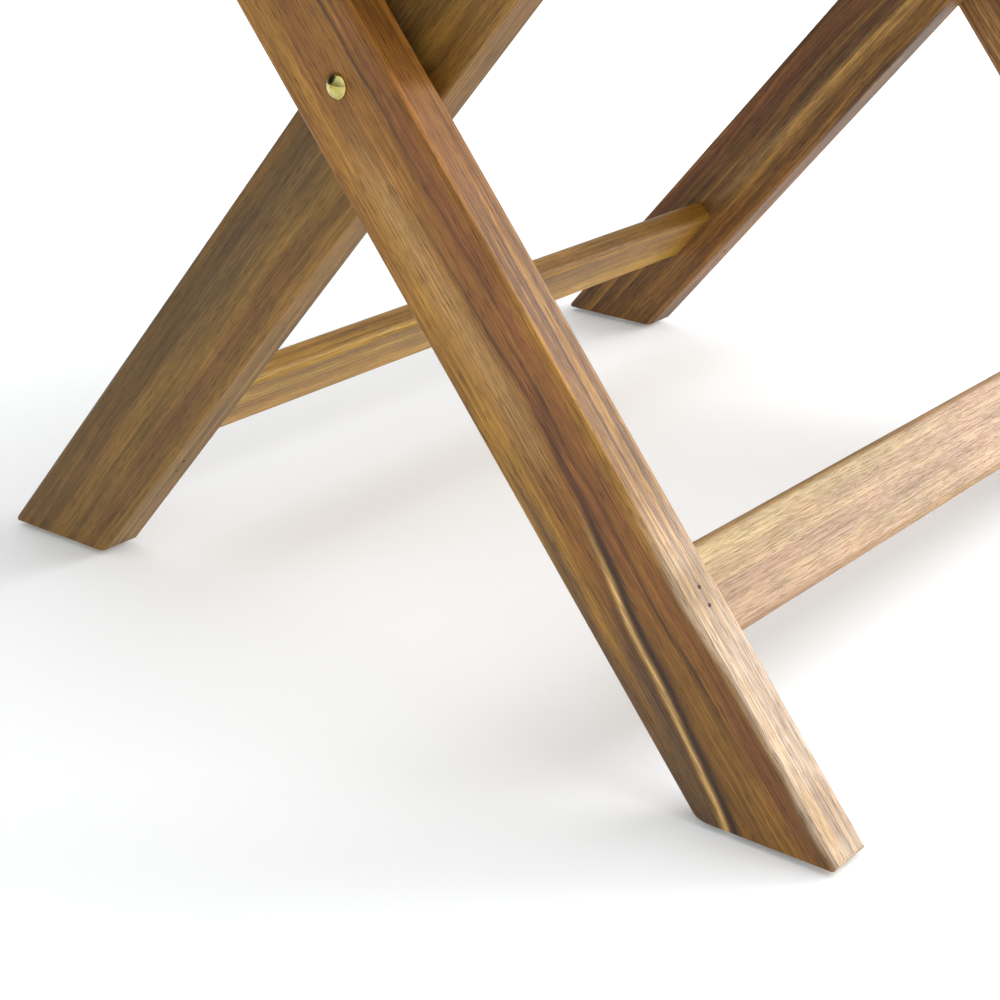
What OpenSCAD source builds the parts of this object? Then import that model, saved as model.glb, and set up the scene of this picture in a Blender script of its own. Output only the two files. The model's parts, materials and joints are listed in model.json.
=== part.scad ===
// Folding picnic table: two crossed leg frames turn on pivot bolts under a slatted top.
// X runs along the table, Y across it, Z up. The origin is on the floor under the centre.
// The inner frame stands at +Y, and its top bar at -Y is the hinge of the top.
// The outer frame stands at -Y. Its top bar bears under two battens at +Y, between a step
// and a brass hook. With the hooks lifted, that bar slides out along the battens, the legs
// spread and the whole table lies flat.

/* [Table] */
// Height of the table top above the floor
table_h = 740; // [730:2:750]
// Length of the top along X
top_l = 1200; // [1150:10:1400]
// Width of one slat
slat_w = 80; // [76:1:82]
// Thickness of the slats and of the boards round them
slat_t = 22; // [20:1:26]
// Gap between two slats
slat_gap = 8; // [6:1:9]
// Width of the boards round the slats
rim_w = 82; // [78:1:86]

/* [Legs] */
// Outside width over the outer legs, along X
frame_w = 780; // [740:10:820]
// Width of a leg, across its length
leg_w = 70; // [66:1:72]
// Thickness of a leg along X
leg_t = 32; // [30:1:34]
// Lean of each leg from the vertical, in degrees
lean = 39.5; // [39:0.5:40]
// Height of the pivot bolts above the floor
pivot_h = 365; // [360:1:370]
// Gap between an outer leg and an inner leg
leg_gap = 11; // [9:1:12]
// Radius of the legs' long edges
leg_edge = 4; // [2:0.5:5]

/* [Rails and bars] */
// Distance down the legs from the pivot to the front stretcher
front_drop = 309; // [306:1:312]
// Distance down the legs from the pivot to the back stretcher
back_drop = 316; // [306:1:320]
// Width of a stretcher, along the legs
stretcher_w = 56; // [52:1:60]
// Thickness of a stretcher
stretcher_t = 19; // [16:1:20]
// Diameter of the two round bars at the tops of the frames
bar_d = 24; // [22:1:26]
// Depth of the two battens that take the bars
batten_h = 48; // [46:1:52]
// Thickness of those battens
batten_t = 26; // [24:1:28]

/* [Hardware] */
// Diameter of the pivot bolts
bolt_d = 8; // [6:1:10]
// Diameter of the domed bolt heads
head_d = 14.5; // [13:0.5:18]
// Diameter of the foot glides
glide_d = 22; // [16:1:24]
// Height of the foot glides
glide_h = 4; // [2:0.5:5]

/* [Hidden] */

$fn = 64;
slats = 6;
long = 1000;                                   // longer than any leg
snug = 0.05;                                   // radial play round a glued or driven piece
running = 0.08;                                // radial play round a piece that turns
apart = 0.3;                                   // gap between faces that slide past each other

oak = "peru";
yellow_zinc = "goldenrod";

slat_z = table_h - slat_t;                     // underside of the slats
bar_drop = leg_w / 2 + 7;                      // slats to the axes of the top bars
bar_z = slat_z - bar_drop;
arm = (bar_z - pivot_h) / cos(lean);           // pivot to top bar, along a leg
bar_y = arm * sin(lean);                       // each top bar's distance from the centre
top_w = 2 * rim_w + slats * slat_w + (slats + 1) * slat_gap;

outer_x = frame_w / 2 - leg_t;                 // inner face of an outer leg
inner_out_x = outer_x - leg_gap;               // outer face of an inner leg
inner_x = inner_out_x - leg_t;                 // inner face of an inner leg
batten_x = inner_x - 12 - batten_t;            // inner face of a batten, clear of the cap nuts

tenon_l = 20;
tenon_w = 40;
tenon_t = 12;
bar_socket = 20;
brad_d = 2.5;
brad_l = 44;
brad_step = 11;
brad_sunk = 0.3;

nail_d = 2.2;
nail_l = 18;

washer_t = 1.6;
washer_r = 10;
spacer_r = 15;
head_h = 4;
nut_across = 13;
nut_base = 4.5;
nut_h = 9;

heel_outer_r = 22;
heel_inner_r = 7;
toe_r = 2.5;

screw_r = 2;
screw_head_r = 4;
screw_head_h = 2.4;
screw_l = 40;

module both_sides() { children(); mirror([1, 0, 0]) children(); }

// A flat outline w by h with corners of radius r.
module round_rect(w, h, r) {
    square([w - 2 * r, h], center = true);
    square([w, h - 2 * r], center = true);
    for (x = [-1, 1], y = [-1, 1]) translate([x * (w / 2 - r), y * (h / 2 - r)]) circle(r);
}

// A rail from x0 to x1 along X, w wide in Y and h high in Z, with round long edges.
module rail_x(x0, x1, w, h, r) {
    translate([x0, 0, 0]) rotate([90, 0, 90]) linear_extrude(x1 - x0) round_rect(w, h, r);
}

// A rail from y0 to y1 along Y, w wide in X and h high in Z.
module rail_y(y0, y1, w, h, r) {
    translate([0, y1, 0]) rotate([90, 0, 0]) linear_extrude(y1 - y0) round_rect(w, h, r);
}

// A round bar or a bore of radius r along X, from x0 to x1 at the height z above y.
module rod_x(x0, x1, y, z, r) {
    translate([x0, y, z]) rotate([0, 90, 0]) cylinder(r = r, h = x1 - x0);
}

// ---- legs ----
// A leg's own frame has its origin on the pivot axis and +Z up the leg. Its -Y is the edge
// that faces the front. side 1 leans the leg's top to +Y, side -1 to -Y.
module on_leg(side) translate([0, 0, pivot_h]) rotate([-side * lean, 0, 0]) children();

// The round top end of a leg, with the same round edges as its sides.
module leg_end() translate([leg_t / 2, 0, arm]) rotate([0, 90, 0]) rotate_extrude()
    intersection() {
        round_rect(leg_w, leg_t, leg_edge);
        translate([0, -leg_t]) square([leg_w, 2 * leg_t]);
    }

// What is cut off to round a corner at the origin to radius r. One face of the material runs
// along +Y, and the other is the given angle above it.
module corner_cut(r, angle) {
    reach = r / tan(angle / 2);
    tangent = reach * [cos(angle), sin(angle)];
    translate([-1, 0, 0]) rotate([90, 0, 90]) linear_extrude(leg_t + 2) difference() {
        polygon([[-1, -1], [reach, -1], [reach, r], tangent, tangent + [-sin(angle), cos(angle)]]);
        translate([reach, r]) circle(r);
    }
}

// The centres of a frame's feet, and half the length of a foot on the floor.
function foot_y(side) = -side * (pivot_h - glide_h) * tan(lean);
half_foot = leg_w / 2 / cos(lean);

// A leg between x = 0 and leg_t. Its mortise and bar socket open at x = 0.
module leg(side, drop, heel_r) {
    heel_y = foot_y(side) + side * half_foot;
    toe_y = foot_y(side) - side * half_foot;
    difference() {
        on_leg(side) {
            translate([leg_t / 2, 0, arm - long]) linear_extrude(long) round_rect(leg_t, leg_w, leg_edge);
            leg_end();
        }
        translate([-leg_t, -long, glide_h - long]) cube([3 * leg_t, 2 * long, long]);
        translate([0, heel_y, glide_h]) scale_y(-side) corner_cut(heel_r, 90 + lean);
        translate([0, toe_y, glide_h]) scale_y(side) corner_cut(toe_r, 90 - lean);
        on_leg(side) {
            rod_x(-1, leg_t + 1, 0, 0, bolt_d / 2 + running);
            rod_x(-1, bar_socket, 0, arm, bar_d / 2 + snug);
            translate([-1, -tenon_t / 2 - snug, -drop - stretcher_w / 2 - tenon_w / 2 - snug])
                cube([tenon_l + 1, tenon_t + 2 * snug, tenon_w + 2 * snug]);
            brad_places(drop) translate([0, 0, -1]) cylinder(r = brad_d / 2 + snug, h = brad_l + 1.5);
        }
    }
}

// Keeps a shape when s is 1, and mirrors it across Y when s is -1.
module scale_y(s) {
    if (s > 0) children();
    else mirror([0, 1, 0]) children();
}

// The starts of the two brads that lock a tenon, on the leg's front edge and pointing inwards.
module brad_places(drop) for (k = [-1, 1])
    translate([leg_t / 2, -leg_w / 2, -drop - stretcher_w / 2 + k * brad_step / 2])
        rotate([-90, 0, 0]) children();

module brads(side, drop, x) both_sides() translate([x, 0, 0]) on_leg(side)
    brad_places(drop) translate([0, 0, brad_sunk]) cylinder(r = brad_d / 2, h = brad_l - brad_sunk);

// A stretcher between two legs whose inner faces are at -x and x.
module stretcher(side, drop, x) on_leg(side) translate([0, 0, -drop - stretcher_w / 2]) difference() {
    union() {
        rail_x(-x, x, stretcher_t, stretcher_w, 5);
        cube([2 * (x + tenon_l - 0.5), tenon_t, tenon_w], center = true);
    }
    both_sides() for (k = [-1, 1]) translate([x + leg_t / 2, -tenon_t, k * brad_step / 2])
        rotate([-90, 0, 0]) cylinder(r = brad_d / 2 + snug, h = 2 * tenon_t);
}

module top_bar(side, x)
    rod_x(-x - bar_socket + 0.5, x + bar_socket - 0.5, side * bar_y, bar_z, bar_d / 2);

// ---- feet ----
// Two glides under each outer foot and one under each inner foot, as distances from its centre.
outer_glides = [for (d = [-24, 24.5]) foot_y(1) + d];
inner_glides = [foot_y(-1) - 9];

module glides(x, ys) both_sides() for (y = ys) translate([x + leg_t / 2, y, 0])
    rotate_extrude() difference() {
        polygon([[0, 0], [glide_d / 2 - 1, 0], [glide_d / 2, 1], [glide_d / 2, glide_h], [0, glide_h]]);
        translate([0, -1]) square([2.6, 2]);
        translate([0, -1]) square([nail_d / 2 + snug, glide_h + 2]);
    }

module glide_nails(x, ys) both_sides() for (y = ys) translate([x + leg_t / 2, y, apart]) {
    cylinder(r = 2.4, h = 0.7);
    cylinder(r = nail_d / 2, h = nail_l);
}

module footed_leg(side, drop, heel_r, x, ys) difference() {
    translate([x, 0, 0]) leg(side, drop, heel_r);
    for (y = ys) translate([x + leg_t / 2, y, 0]) cylinder(r = nail_d / 2 + snug, h = nail_l + 1);
}

// ---- outer frame ----
module outer_leg_right() color(oak) footed_leg(1, front_drop, heel_outer_r, outer_x, outer_glides);
module outer_leg_left() mirror([1, 0, 0]) outer_leg_right();
module front_stretcher() color(oak) stretcher(1, front_drop, outer_x);
module outer_top_bar() color(oak) top_bar(1, outer_x);
module outer_brads() color("saddlebrown") brads(1, front_drop, outer_x);
module outer_foot_glides() color("whitesmoke") glides(outer_x, outer_glides);
module outer_glide_nails() color("silver") glide_nails(outer_x, outer_glides);

// ---- inner frame ----
module inner_leg_right() color(oak) footed_leg(-1, back_drop, heel_inner_r, inner_x, inner_glides);
module inner_leg_left() mirror([1, 0, 0]) inner_leg_right();
module back_stretcher() color(oak) stretcher(-1, back_drop, inner_x);
module inner_top_bar() color(oak) top_bar(-1, inner_x);
module inner_brads() color("saddlebrown") brads(-1, back_drop, inner_x);
module inner_foot_glides() color("whitesmoke") glides(inner_x, inner_glides);
module inner_glide_nails() color("silver") glide_nails(inner_x, inner_glides);

// ---- pivots ----
nut_x = inner_x - apart - washer_t;            // where the cap nut bears on its washer
bolt_end_x = nut_x - nut_base - 1;

// A low dome of radius r and height h, flat side down, on a short straight rim.
module dome(r, h, rim) {
    rise = h - rim;
    ball = (r * r + rise * rise) / (2 * rise);
    cylinder(r = r, h = rim);
    translate([0, 0, rim]) rotate_extrude() intersection() {
        translate([0, rise - ball]) circle(ball);
        square([r, rise]);
    }
}

module pivot_bolt_right() color(yellow_zinc) {
    rod_x(bolt_end_x, frame_w / 2 + apart + 0.5, 0, pivot_h, bolt_d / 2);
    translate([frame_w / 2 + apart, 0, pivot_h]) rotate([0, 90, 0]) dome(head_d / 2, head_h, 0.8);
}
module pivot_bolt_left() mirror([1, 0, 0]) pivot_bolt_right();

// A ring round the pivot axis from x0 to x1.
module pivot_ring(x0, x1, r) difference() {
    rod_x(x0, x1, 0, pivot_h, r);
    rod_x(x0 - 1, x1 + 1, 0, pivot_h, bolt_d / 2 + snug);
}

module pivot_spacers() color("dimgray") both_sides() pivot_ring(inner_out_x, outer_x - apart, spacer_r);
module pivot_washers() color(yellow_zinc) both_sides() pivot_ring(nut_x, nut_x + washer_t, washer_r);
module pivot_cap_nuts() color(yellow_zinc) both_sides()
    translate([nut_x, 0, pivot_h]) rotate([0, -90, 0]) difference() {
        union() {
            cylinder(r = nut_across / 2 / cos(30), h = nut_base, $fn = 6);
            translate([0, 0, nut_base - 0.5]) dome(nut_across / 2 - 0.4, nut_h - nut_base + 0.5, 1);
        }
        translate([0, 0, -1]) cylinder(r = bolt_d / 2 + snug, h = nut_base + 2.3);
    }

// ---- top ----
half_top = top_w / 2;
rim_x = top_l / 2 - rim_w;                     // inner edge of an end board
function slat_y(i) = -half_top + rim_w + slat_gap + slat_w / 2 + (i - 1) * (slat_w + slat_gap);

// A board along X, pierced by the screws that hold it.
module board(y, w, half_l) color(oak) difference() {
    translate([0, y, slat_z + slat_t / 2]) rail_x(-half_l, half_l, w, slat_t, 3);
    screw_places(batten_screw_spots) pilot(screw_l);
    screw_places(cross_screw_spots) pilot(cross_screw_l);
    rim_dowel_places() cylinder(r = dowel_r + snug, h = dowel_l + 1, center = true);
}

module rim_board_front() board(-half_top + rim_w / 2, rim_w, top_l / 2);
module rim_board_back() board(half_top - rim_w / 2, rim_w, top_l / 2);
module rim_board_right() color(oak) difference() {
    translate([top_l / 2 - rim_w / 2, 0, slat_z + slat_t / 2])
        rail_y(-half_top + rim_w, half_top - rim_w, rim_w, slat_t, 3);
    rim_dowel_places() cylinder(r = dowel_r + snug, h = dowel_l + 1, center = true);
}
module rim_board_left() mirror([1, 0, 0]) rim_board_right();

dowel_r = 4;
dowel_l = 48;
dowel_step = 40;
module rim_dowel_places() for (x = [-1, 1], y = [-1, 1], k = [-1, 1])
    translate([x * (top_l - rim_w) / 2 + k * dowel_step / 2, y * (half_top - rim_w), slat_z + slat_t / 2])
        rotate([90, 0, 0]) children();
module rim_dowels() color("tan") rim_dowel_places() cylinder(r = dowel_r, h = dowel_l, center = true);

module slat(i) board(slat_y(i), slat_w, rim_x - 2);
module slat_1() slat(1);
module slat_2() slat(2);
module slat_3() slat(3);
module slat_4() slat(4);
module slat_5() slat(5);
module slat_6() slat(6);

// Screws go up through a batten into each board. A spot is [x, y, the head's height].
head_below = 24;                               // sunk heads to the underside of the slats
batten_screw_spots = [for (x = [-1, 1], y = concat([-half_top + rim_w * 0.62], [for (i = [1:slats]) slat_y(i)],
                           [half_top - rim_w * 0.6]))
                      [x * (batten_x + batten_t / 2), y, slat_z - head_below]];
cross_x = rim_x - 34;
cross_h = 24;
cross_w = 44;
cross_head_below = 18;
cross_screw_l = 34;
cross_screw_spots = [for (x = [-cross_x, 0, cross_x], y = concat([-half_top + rim_w / 2],
                          [for (i = [1:slats]) slat_y(i)], [half_top - rim_w / 2]))
                     [x, y, slat_z - cross_head_below]];
module screw_places(spots) for (p = spots) translate(p) children();

module screw(l) {
    translate([0, 0, -screw_head_h]) cylinder(r = screw_head_r, h = screw_head_h);
    translate([0, 0, -0.5]) cylinder(r = screw_r, h = l + 0.5);
}

// The hole for a screw: a bore for its shank and a wide one below for its head.
module pilot(l) {
    translate([0, 0, -1]) cylinder(r = screw_r + snug, h = l + 2);
    translate([0, 0, -long]) cylinder(r = screw_head_r + snug, h = long);
}

module batten_screws() color("silver") screw_places(batten_screw_spots) screw(screw_l);
module cross_batten_screws() color("silver") screw_places(cross_screw_spots) screw(cross_screw_l);

// A batten across the slats. Near -Y a round boss carries the hinge bar, and towards +Y the
// lower edge steps up over the seat of the outer frame's bar.
batten_end = half_top - 22;
step_y = bar_y - bar_d / 2 - 0.6;
seat_h = bar_drop - bar_d / 2 - 0.4;           // depth of the batten over the seat
boss_r = bar_d;
module batten_right() color(oak) difference() {
    translate([batten_x, 0, 0]) rotate([90, 0, 90]) linear_extrude(batten_t) difference() {
        union() {
            translate([-batten_end, slat_z - batten_h]) square([batten_end + step_y, batten_h]);
            translate([-batten_end, slat_z - seat_h]) square([2 * batten_end, seat_h]);
            translate([-bar_y, bar_z]) circle(boss_r);
        }
        // sloped ends
        translate([-batten_end, slat_z - batten_h]) polygon([[-1, -1], [22, -1], [0, 28], [-1, 28]]);
        translate([batten_end, slat_z - seat_h]) polygon([[1, -1], [-12, -1], [0, 13], [1, 13]]);
    }
    rod_x(batten_x - 1, batten_x + batten_t + 1, -bar_y, bar_z, bar_d / 2 + running);
    screw_places(batten_screw_spots) pilot(screw_l);
    rod_x(batten_x - 1, batten_x + hook_screw_l + 1, hook_y, hook_z, hook_screw_r + snug);
}
module batten_left() mirror([1, 0, 0]) batten_right();

module cross_batten(x) color(oak) difference() {
    translate([x, 0, slat_z - cross_h / 2]) rail_y(-batten_end + 2, batten_end - 2, cross_w, cross_h, 3);
    screw_places(cross_screw_spots) pilot(cross_screw_l);
}
module end_batten_left() cross_batten(-cross_x);
module end_batten_right() cross_batten(cross_x);
module centre_batten() cross_batten(0);

// ---- hooks ----
// A flat brass hook turns on a screw in each batten's inner face. Its arm passes over the
// outer frame's bar, and its lip goes down the far side. The lip's inner face is an arc about
// the screw, so that the hook lifts freely.
hook_t = 3;
hook_gap = 0.5;
hook_y = bar_y - 62;
hook_z = bar_z + 4;
hook_screw_r = 2.5;
hook_screw_l = 17;
hook_boss_r = 8;
hook_lip_in = norm([62 + bar_d / 2, 4]) + 0.8; // screw to the lip's inner face
hook_lip_w = 7;
hook_arm_low = bar_z + bar_d / 2 + 1;
hook_arm_h = 7.5;
hook_x = batten_x - hook_gap - hook_t;
module hook_right() color(yellow_zinc) translate([hook_x, 0, 0])
    rotate([90, 0, 90]) linear_extrude(hook_t) difference() {
        union() {
            translate([hook_y, hook_z]) circle(hook_boss_r);
            translate([hook_y, hook_arm_low]) square([hook_lip_in + 2, hook_arm_h]);
            intersection() {
                translate([hook_y, hook_z]) difference() {
                    circle(hook_lip_in + hook_lip_w);
                    circle(hook_lip_in);
                }
                translate([hook_y, bar_z - 3]) square([2 * hook_lip_in, hook_arm_low + hook_arm_h - bar_z + 3]);
            }
        }
        translate([hook_y, hook_z]) circle(hook_screw_r + running);
    }
module hook_left() mirror([1, 0, 0]) hook_right();
module hook_screws() color("silver") both_sides() {
    rod_x(hook_x - apart - 0.5, batten_x + hook_screw_l, hook_y, hook_z, hook_screw_r);
    translate([hook_x - apart, hook_y, hook_z]) rotate([0, -90, 0]) dome(5, 2, 0.6);
}

outer_leg_left();
outer_leg_right();
front_stretcher();
outer_top_bar();
outer_brads();
outer_foot_glides();
outer_glide_nails();
inner_leg_left();
inner_leg_right();
back_stretcher();
inner_top_bar();
inner_brads();
inner_foot_glides();
inner_glide_nails();
pivot_bolt_left();
pivot_bolt_right();
pivot_spacers();
pivot_washers();
pivot_cap_nuts();
rim_board_front();
rim_board_back();
rim_board_left();
rim_board_right();
rim_dowels();
slat_1();
slat_2();
slat_3();
slat_4();
slat_5();
slat_6();
batten_left();
batten_right();
end_batten_left();
end_batten_right();
centre_batten();
batten_screws();
cross_batten_screws();
hook_left();
hook_right();
hook_screws();
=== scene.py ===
"""Looks for the folding picnic table: oiled acacia, yellow-zinc bolts, clear glides, white studio."""
import json
import math

import bpy
from mathutils import Matrix, Vector

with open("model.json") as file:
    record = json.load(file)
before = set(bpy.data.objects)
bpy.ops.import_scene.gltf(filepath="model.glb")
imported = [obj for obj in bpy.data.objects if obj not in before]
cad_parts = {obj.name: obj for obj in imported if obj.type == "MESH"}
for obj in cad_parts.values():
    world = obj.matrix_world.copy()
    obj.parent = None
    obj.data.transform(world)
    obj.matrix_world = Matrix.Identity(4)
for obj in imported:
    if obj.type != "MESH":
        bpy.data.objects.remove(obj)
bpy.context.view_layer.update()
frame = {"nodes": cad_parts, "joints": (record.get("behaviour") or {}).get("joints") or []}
nodes = frame["nodes"]

MM = 0.001
LEAN = math.radians(39.5)                      # the legs' lean from upright
QUARTER_TURN = math.radians(90)
RINGS_WIDE, RINGS_MIDDLE, RINGS_FINE = 95, 210, 420        # noise cells per metre out from the pith
STREAK_FADE = 40                               # mm over which a streak tapers in and out
PIVOT_Z = next(j["pos_m"][2] for j in frame["joints"] if j["name"] == "leg_fold")


# ---- node graphs ----
class Graph:
    """A short way to add and join shader nodes."""

    def __init__(self, tree):
        self.tree = tree

    def add(self, kind, values=None, **settings):
        node = self.tree.nodes.new(kind)
        for name, value in settings.items():
            setattr(node, name, value)
        for key, value in (values or {}).items():
            self.put(node.inputs[key], value)
        return node

    def put(self, socket, value):
        if isinstance(value, bpy.types.NodeSocket):
            self.tree.links.new(value, socket)
        elif value is not None:
            socket.default_value = value

    def math(self, operation, a, b=None, c=None):
        return self.add("ShaderNodeMath", {0: a, 1: b, 2: c}, operation=operation).outputs[0]

    def dot(self, vector, direction):
        node = self.add("ShaderNodeVectorMath", {0: vector, 1: direction}, operation="DOT_PRODUCT")
        return node.outputs["Value"]

    def object_point(self):
        return self.add("ShaderNodeTexCoord").outputs["Object"]

    def noise(self, vector, scale=1.0, detail=2.0, rough=0.5):
        values = {"Vector": vector, "Scale": scale, "Detail": detail, "Roughness": rough}
        return self.add("ShaderNodeTexNoise", values).outputs[0]

    def stretch(self, vector, scale, offset=(0, 0, 0)):
        values = {"Vector": vector, "Location": offset, "Scale": scale}
        return self.add("ShaderNodeMapping", values).outputs[0]

    def span(self, value, low, high, out_low=0.0, out_high=1.0):
        values = {0: value, 1: low, 2: high, 3: out_low, 4: out_high}
        return self.add("ShaderNodeMapRange", values, interpolation_type="SMOOTHSTEP").outputs[0]

    def mix(self, amount, a, b, blend="MIX"):
        node = self.add("ShaderNodeMix", data_type="RGBA", blend_type=blend)
        self.put(node.inputs[0], amount)
        self.put(node.inputs[6], a)
        self.put(node.inputs[7], b)
        return node.outputs[2]

    def split(self, vector):
        return self.add("ShaderNodeSeparateXYZ", {0: vector}).outputs

    def join(self, x, y, z):
        return self.add("ShaderNodeCombineXYZ", {0: x, 1: y, 2: z}).outputs[0]

    def shade(self, amount, colour, brightness):
        """Multiplies a colour by a brightness, by amount."""
        return self.mix(amount, colour, self.join(brightness, brightness, brightness), "MULTIPLY")


def new_material(name):
    material = bpy.data.materials.new(name)
    material.use_nodes = True
    tree = material.node_tree
    tree.nodes.clear()
    graph = Graph(tree)
    shader = graph.add("ShaderNodeBsdfPrincipled")
    graph.add("ShaderNodeOutputMaterial", {"Surface": shader.outputs[0]})
    return material, graph, shader


def srgb(red, green, blue):
    """A colour given as 0 to 255 in sRGB, as the linear RGBA that shaders take."""
    linear = [((c / 255 + 0.055) / 1.055) ** 2.4 if c > 10 else c / 3294.6 for c in (red, green, blue)]
    return (*linear, 1.0)


def dress(names, material):
    for name in names:
        mesh = nodes[name].data
        mesh.materials.clear()
        mesh.materials.append(material)


# ---- wood ----
def grain_frame(graph, turn, offset):
    """Object coordinates turned so that X runs along the grain, moved on by a piece's own offset."""
    values = {"Vector": graph.object_point(), "Location": offset, "Rotation": turn}
    return graph.add("ShaderNodeMapping", values).outputs[0]


def streak(graph, colour, along, across, wobble, mark):
    """Lays one streak of colour over the wood. It drifts across the grain and tapers out."""
    middle, drift, width, start, end, tint, strength = mark
    line = graph.math("MULTIPLY_ADD", along, -drift, -middle * MM + drift * start * MM)
    offset = graph.math("ADD", graph.math("ADD", across, line), wobble)
    away = graph.math("DIVIDE", offset, width * MM)
    bell = graph.math("EXPONENT", graph.math("MULTIPLY", graph.math("MULTIPLY", away, away), -1.0))
    fade = STREAK_FADE * MM
    near_start = graph.span(along, start * MM + fade, start * MM - fade)
    near_end = graph.span(along, end * MM - fade, end * MM + fade)
    amount = graph.math("MULTIPLY", bell, graph.math("MULTIPLY", near_start, near_end))
    return graph.mix(graph.math("MULTIPLY", amount, strength), colour, tint)


def ring_noise(graph, along, ring, slow, rings, shift, detail, rough):
    """Noise that follows the growth rings: fine across them, and slow along the grain."""
    point = graph.join(graph.math("MULTIPLY", along, slow), graph.math("MULTIPLY", ring, rings), shift)
    return graph.noise(point, detail=detail, rough=rough)


def wood(name, tones, turn, offset, pith, contrast, marks=(), place=None):
    """Oiled acacia. tones are its dark, middle, light and red colours, and pith is where the rings
    centre. marks are streaks, laid in a frame that place moves to the leg's pivot."""
    dark, middle, light, red = tones
    material, graph, shader = new_material(name)
    point = grain_frame(graph, turn, offset)
    bend = graph.noise(graph.stretch(point, (2.6, 9, 9)), detail=2.0)
    ripple = graph.noise(graph.stretch(point, (9, 34, 34)), detail=2.0)
    along, across, deep = graph.split(point)

    wander = graph.math("ADD", graph.math("MULTIPLY", bend, 0.034), graph.math("MULTIPLY", ripple, 0.006))
    side = graph.math("ADD", graph.math("ADD", across, pith[0]), wander)
    depth = graph.math("ADD", deep, pith[1])
    squares = graph.math("ADD", graph.math("MULTIPLY", side, side), graph.math("MULTIPLY", depth, depth))
    ring = graph.math("SQRT", squares)
    bands = ring_noise(graph, along, ring, 0.9, RINGS_WIDE, 0.0, 5.0, 0.62)
    stripes = ring_noise(graph, along, ring, 1.4, RINGS_MIDDLE, 8.0, 3.0, 0.6)
    lines = ring_noise(graph, along, ring, 2.2, RINGS_FINE, 3.0, 3.0, 0.6)
    patch = graph.noise(graph.stretch(point, (2.0, 14, 14), (4, 1, 2)), detail=2.0)
    fibre = graph.noise(graph.stretch(point, (15, 900, 900)), detail=4.0, rough=0.68)
    pores = graph.noise(graph.stretch(point, (85, 1700, 1700), (7, 3, 5)), detail=1.0)
    flame = graph.noise(graph.stretch(point, (30, 60, 60), (2, 9, 1)), detail=2.0)

    colour = graph.mix(graph.span(bands, 0.36, 0.60), dark, middle)
    colour = graph.mix(graph.span(bands, 0.48, 0.70), colour, light)
    colour = graph.mix(graph.math("MULTIPLY", graph.span(patch, 0.40, 0.66), 0.65), colour, red)
    band = graph.span(stripes, 0.34, 0.66, 0.80, 1.18)
    colour = graph.shade(contrast, colour, band)
    thin = graph.math("MULTIPLY", graph.span(lines, 0.53, 0.70), 0.62 * contrast)
    colour = graph.mix(thin, colour, (0.42, 0.33, 0.27, 1.0), "MULTIPLY")

    if marks:
        own = grain_frame(graph, turn, place)
        own_along, own_across, _ = graph.split(own)
        sway = 9 * MM
        wobble = graph.noise(graph.stretch(own, (14, 2, 2)), detail=3.0)
        wobble = graph.math("MULTIPLY_ADD", wobble, sway, -sway / 2)
        for mark in marks:
            colour = streak(graph, colour, own_along, own_across, wobble, mark)

    tone = graph.span(fibre, 0.32, 0.68, 0.68, 1.34)
    colour = graph.shade(min(1.0, 0.4 + contrast), colour, tone)
    glow = graph.span(flame, 0.30, 0.70, 0.90, 1.10)
    colour = graph.shade(1.0, colour, glow)
    dash = graph.math("MULTIPLY", graph.span(pores, 0.55, 0.66), 0.62 * min(1.0, 0.35 + contrast))
    colour = graph.mix(dash, colour, (0.30, 0.21, 0.15, 1.0), "MULTIPLY")

    graph.put(shader.inputs["Base Color"], colour)
    graph.put(shader.inputs["Roughness"], graph.span(fibre, 0.25, 0.75, 0.56, 0.42))
    shader.inputs["Specular IOR Level"].default_value = 0.42
    height = graph.math("SUBTRACT", graph.math("MULTIPLY", fibre, 0.35), graph.span(pores, 0.54, 0.66))
    bump = graph.add("ShaderNodeBump", {"Strength": 0.45, "Distance": 0.00025, "Height": height})
    graph.put(shader.inputs["Normal"], bump.outputs[0])
    return material


def leg_turn(side):
    """Turns a leg's length onto X and its width onto Y. side is 1 on the outer frame and -1 on the inner."""
    upright = Matrix.Rotation(side * LEAN, 4, "X")
    flat = Matrix.Rotation(QUARTER_TURN, 4, "Y")
    return (flat @ upright).to_euler()


def leg_place(side):
    """What moves the pivot axis to the origin once a leg is turned."""
    return -(leg_turn(side).to_matrix() @ Vector((0, 0, PIVOT_Z)))


GOLD = (srgb(114, 75, 23), srgb(165, 117, 41), srgb(198, 152, 58), srgb(156, 101, 42))
OLIVE = (srgb(104, 76, 26), srgb(142, 106, 42), srgb(160, 124, 52), srgb(134, 94, 36))
RUSSET = (srgb(92, 60, 24), srgb(142, 100, 40), srgb(174, 130, 56), srgb(130, 86, 36))
HONEY = (srgb(150, 114, 68), srgb(168, 138, 88), srgb(178, 150, 94), srgb(174, 136, 106))
AMBER = (srgb(130, 92, 28), srgb(172, 132, 46), srgb(194, 154, 60), srgb(166, 118, 44))
WHEAT = (srgb(128, 92, 46), srgb(164, 126, 70), srgb(186, 148, 86), srgb(162, 116, 68))

INK = srgb(52, 32, 20)
SMOKE = srgb(88, 68, 50)
STRAW = srgb(224, 182, 114)
RUST = srgb(140, 80, 44)
# PAINTED_SHEEN is a painted highlight: the key light's whitish sheen on an edge face, laid in as colour.
PAINTED_SHEEN = srgb(224, 208, 188)

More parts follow.
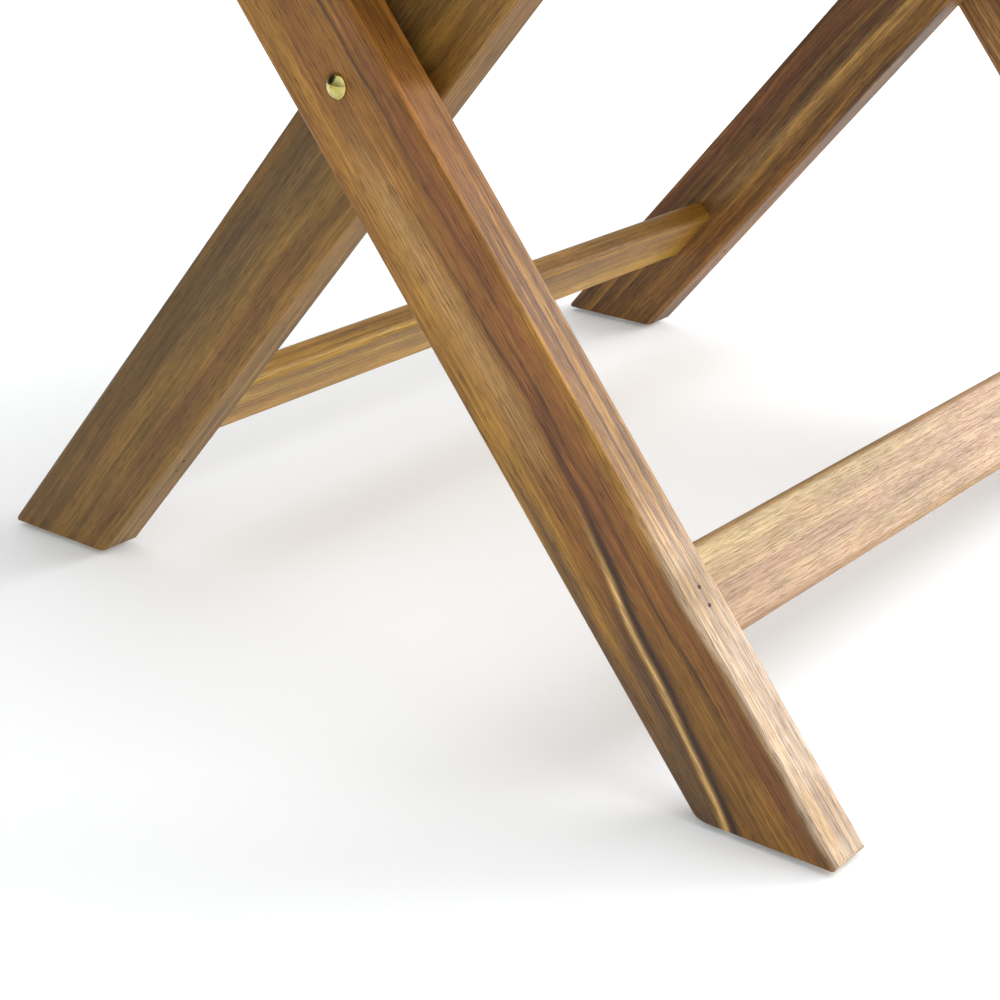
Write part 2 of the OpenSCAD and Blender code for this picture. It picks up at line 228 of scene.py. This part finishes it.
# Streaks: middle in mm across the leg, drift for each mm along it, width in mm, start and end in mm up
# from the pivot, colour, strength. On the outer legs, minus is towards the front edge.
NEAR_OUTER_MARKS = (
    (-17, 0.02, 1.4, 120, -170, INK, 0.75),
    (-23, 0.02, 1.0, 140, -130, INK, 0.50),
    (-26, 0.0, 6, 20, -260, RUST, 0.40),
    # Painted sheen: a pale band along the front edge face of the lower leg, standing in for the key light's
    # reflection there.
    (-35, 0.0, 2.2, -300, -560, PAINTED_SHEEN, 0.50),
    (8, 0.02, 10, -40, -230, STRAW, 0.42),
    (-25, 0.0, 7, -40, -480, RUST, 0.45),
    (-13, -0.10, 3.6, -200, -500, INK, 0.95),
    (7, -0.10, 2.2, -300, -500, INK, 0.55),
    (1, -0.10, 1.8, -290, -500, STRAW, 1.00),
    (14, -0.10, 6, -330, -500, SMOKE, 0.80),
    (27, -0.02, 5, -230, -500, SMOKE, 0.70),
    (-16, 0.0, 1.6, -180, -400, INK, 0.70),
    (-6, 0.02, 1.4, -90, -300, INK, 0.70),
    (-12, 0.0, 6, -110, -330, RUST, 0.45),
)
FAR_OUTER_MARKS = (
    (12, 0.03, 3, 200, -220, INK, 0.55),
    (-8, -0.02, 8, 100, -400, RUST, 0.40),
)
NEAR_INNER_MARKS = (
    (10, 0.0, 12, 60, -260, SMOKE, 0.35),
    (-16, 0.02, 7, -120, -460, RUST, 0.25),
)
FAR_INNER_MARKS = (
    (0, -0.06, 4, 120, -330, INK, 0.45),
    (12, -0.05, 8, 60, -420, RUST, 0.35),
    (-15, -0.03, 6, 60, -300, STRAW, 0.25),
)


def legs():
    kinds = (
        ("outer_leg_left", 1, GOLD, (0.00, 0.31, 0.12), (0.03, 0.10), 1.0, NEAR_OUTER_MARKS),
        ("outer_leg_right", 1, WHEAT, (3.10, 0.77, 0.40), (-0.05, 0.14), 1.0, FAR_OUTER_MARKS),
        ("inner_leg_left", -1, OLIVE, (5.70, 0.16, 0.91), (0.02, 0.05), 0.45, NEAR_INNER_MARKS),
        ("inner_leg_right", -1, RUSSET, (8.20, 1.90, 0.25), (-0.02, 0.09), 0.85, FAR_INNER_MARKS),
    )
    for name, side, tones, offset, pith, contrast, marks in kinds:
        turn, place = leg_turn(side), leg_place(side)
        made = wood(name + "_acacia", tones, turn, offset, pith, contrast, marks, place)
        dress([name], made)


def long_pieces():
    """Stretchers and bars, whose grain runs along X already."""
    kinds = (
        ("front_stretcher", HONEY, (1.3, 2.2, 0.4), (0.06, 0.10), 0.25),
        ("back_stretcher", AMBER, (4.6, 0.9, 2.8), (-0.04, 0.12), 0.4),
        ("outer_top_bar", GOLD, (6.1, 3.4, 1.7), (0.01, 0.05), 0.8),
        ("inner_top_bar", WHEAT, (9.4, 1.4, 3.3), (0.01, 0.05), 0.8),
    )
    for name, tones, offset, pith, contrast in kinds:
        dress([name], wood(name + "_acacia", tones, (0, 0, 0), offset, pith, contrast))


def top_boards():
    along_x = ["rim_board_front", "rim_board_back"] + [f"slat_{i}" for i in range(1, 7)]
    palettes = (WHEAT, GOLD, HONEY, WHEAT, RUSSET, WHEAT, GOLD, OLIVE)
    for i, (name, tones) in enumerate(zip(along_x, palettes)):
        pith = (0.05 * math.sin(2.1 * i), 0.08 + 0.012 * (i % 4))
        offset = (1.7 * i + 0.4, 0.61 * i, 0.37 * i)
        dress([name], wood(name + "_acacia", tones, (0, 0, 0), offset, pith, 1.0))
    along_y = ("rim_board_left", "rim_board_right", "batten_left", "batten_right",
               "end_batten_left", "end_batten_right", "centre_batten")
    for i, name in enumerate(along_y):
        tones = (GOLD, WHEAT, OLIVE)[i % 3]
        turn = (0, 0, QUARTER_TURN)
        offset = (2.3 * i + 0.9, 0.83 * i, 0.29 * i)
        dress([name], wood(name + "_acacia", tones, turn, offset, (0.03, 0.11), 1.0))
    dowel_turn = (0, 0, QUARTER_TURN)
    dress(["rim_dowels"], wood("dowel_beech", HONEY, dowel_turn, (3, 3, 3), (0.01, 0.03), 0.5))


# ---- metal, plastic, filler ----
def metal(name, tint, shadow_tint, roughness, grit):
    """Plated metal: its colour drifts a little, and fine wear breaks up the gloss."""
    material, graph, shader = new_material(name)
    point = graph.object_point()
    drift = graph.noise(point, 160, 3.0)
    fine = graph.noise(point, grit, 3.0, 0.6)
    graph.put(shader.inputs["Base Color"], graph.mix(graph.span(drift, 0.30, 0.72), shadow_tint, tint))
    graph.put(shader.inputs["Roughness"], graph.span(fine, 0.3, 0.7, roughness, roughness * 1.9))
    shader.inputs["Metallic"].default_value = 1.0
    bump = graph.add("ShaderNodeBump", {"Strength": 0.12, "Distance": 0.0001, "Height": fine})
    graph.put(shader.inputs["Normal"], bump.outputs[0])
    return material


def glide_plastic():
    material, graph, shader = new_material("clear_glide")
    point = graph.object_point()
    cloud = graph.noise(point, 220, 3.0)
    tint = graph.mix(graph.span(cloud, 0.3, 0.7), (0.86, 0.87, 0.85, 1), (0.95, 0.95, 0.93, 1))
    graph.put(shader.inputs["Base Color"], tint)
    graph.put(shader.inputs["Roughness"], graph.span(cloud, 0.3, 0.7, 0.12, 0.26))
    shader.inputs["Transmission Weight"].default_value = 0.35
    shader.inputs["IOR"].default_value = 1.49
    return material


def nylon():
    material, graph, shader = new_material("black_nylon")
    point = graph.object_point()
    grain = graph.noise(point, 900, 2.0)
    tint = graph.mix(graph.span(grain, 0.3, 0.7), srgb(24, 22, 20), srgb(44, 41, 38))
    graph.put(shader.inputs["Base Color"], tint)
    graph.put(shader.inputs["Roughness"], graph.span(grain, 0.3, 0.7, 0.48, 0.62))
    return material


def brad_filler():
    material, graph, shader = new_material("dark_brad")
    point = graph.object_point()
    mottle = graph.noise(point, 1400, 2.0)
    tint = graph.mix(graph.span(mottle, 0.3, 0.7), srgb(44, 28, 18), srgb(86, 58, 36))
    graph.put(shader.inputs["Base Color"], tint)
    graph.put(shader.inputs["Roughness"], graph.span(mottle, 0.3, 0.7, 0.55, 0.75))
    return material


def hardware():
    polished = metal("yellow_zinc", srgb(222, 214, 150), srgb(186, 172, 96), 0.05, 900)
    dress(["pivot_bolt_left", "pivot_bolt_right", "pivot_washers", "pivot_cap_nuts"], polished)
    brass = metal("hook_brass", srgb(214, 178, 106), srgb(170, 132, 70), 0.22, 700)
    dress(["hook_left", "hook_right"], brass)
    steel = metal("zinc_steel", srgb(196, 196, 192), srgb(150, 151, 150), 0.28, 800)
    dress(["batten_screws", "cross_batten_screws", "hook_screws"], steel)
    dress(["outer_glide_nails", "inner_glide_nails"], steel)
    dress(["outer_foot_glides", "inner_foot_glides"], glide_plastic())
    dress(["pivot_spacers"], nylon())
    dress(["outer_brads", "inner_brads"], brad_filler())


# ---- studio ----
def floor():
    bpy.ops.mesh.primitive_circle_add(vertices=96, radius=9, fill_type="NGON", location=(0, 0, 0))
    ground = bpy.context.object
    ground.name = "studio_floor"
    material, graph, shader = new_material("white_floor")
    shader.inputs["Base Color"].default_value = (0.915, 0.93, 0.945, 1)
    shader.inputs["Roughness"].default_value = 0.9
    shader.inputs["Specular IOR Level"].default_value = 0.1
    # Painted light: the floor glows faintly bluish. This lifts its shade under the table and cools the warm
    # light bounced off the wood.
    shader.inputs["Emission Color"].default_value = (0.84, 0.95, 1.0, 1)
    shader.inputs["Emission Strength"].default_value = 0.17
    ground.data.materials.append(material)


def aim(thing, place, target):
    thing.location = place
    thing.rotation_euler = (Vector(target) - Vector(place)).to_track_quat("-Z", "Y").to_euler()


def softbox(name, place, target, width, height, power):
    light = bpy.data.lights.new(name, "AREA")
    light.shape = "RECTANGLE"
    light.size, light.size_y = width, height
    light.energy = power
    lamp = bpy.data.objects.new(name, light)
    bpy.context.scene.collection.objects.link(lamp)
    aim(lamp, place, target)


def studio_world():
    """White all round to the camera. As light it is strongest overhead and to the key side and weak
    from -X, and a dark flag high on the -X +Y side gives the polished metal something to reflect."""
    world = bpy.data.worlds.new("studio")
    bpy.context.scene.world = world
    world.use_nodes = True
    world.node_tree.nodes.clear()
    graph = Graph(world.node_tree)
    direction = graph.add("ShaderNodeTexCoord").outputs["Generated"]
    bright_side = Vector((0.42, -0.42, 0.80)).normalized()
    strength = graph.span(graph.dot(direction, bright_side), -0.55, 0.95, 0.42, 1.22)
    flag_side = Vector((-0.42, 0.80, 0.42)).normalized()
    blocked = graph.span(graph.dot(direction, flag_side), 0.80, 0.95, 1.0, 0.06)
    strength = graph.math("MULTIPLY", strength, blocked)
    glow = graph.add("ShaderNodeBackground", {"Color": (1, 1, 1, 1), "Strength": strength})
    seen = graph.add("ShaderNodeBackground", {"Color": (1, 1, 1, 1), "Strength": 1.0})
    camera_ray = graph.add("ShaderNodeLightPath").outputs["Is Camera Ray"]
    both = graph.add("ShaderNodeMixShader", {0: camera_ray, 1: glow.outputs[0], 2: seen.outputs[0]})
    graph.add("ShaderNodeOutputWorld", {"Surface": both.outputs[0]})


def camera(place, heading, pitch, roll, lens):
    """A camera at place. heading is counted from +X towards +Y, pitch from level, all in degrees."""
    heading, pitch, roll = map(math.radians, (heading, pitch, roll))
    level = math.cos(pitch)
    forward = Vector((level * math.cos(heading), level * math.sin(heading), math.sin(pitch)))
    right = forward.cross(Vector((0, 0, 1))).normalized()
    up = right.cross(forward)
    right, up = right * math.cos(roll) + up * math.sin(roll), up * math.cos(roll) - right * math.sin(roll)
    turned = Matrix((right, up, -forward)).transposed().to_4x4()
    data = bpy.data.cameras.new("view_camera")
    data.lens = lens
    data.sensor_width = 36
    data.clip_end = 60
    eye = bpy.data.objects.new("view_camera", data)
    eye.matrix_world = Matrix.Translation(place) @ turned
    bpy.context.scene.collection.objects.link(eye)
    bpy.context.scene.camera = eye


legs()
long_pieces()
top_boards()
hardware()
floor()
studio_world()
softbox("key", (2.5, -1.5, 1.35), (0, 0, 0.3), 1.7, 1.7, 72)
softbox("overhead", (0.2, -1.2, 3.0), (0, 0, 0), 2.6, 2.6, 25)
camera((-1.297, -0.803, 0.621), 37.1, -22.33, 1.24, 80.7)
bpy.context.scene.view_settings.view_transform = "Standard"
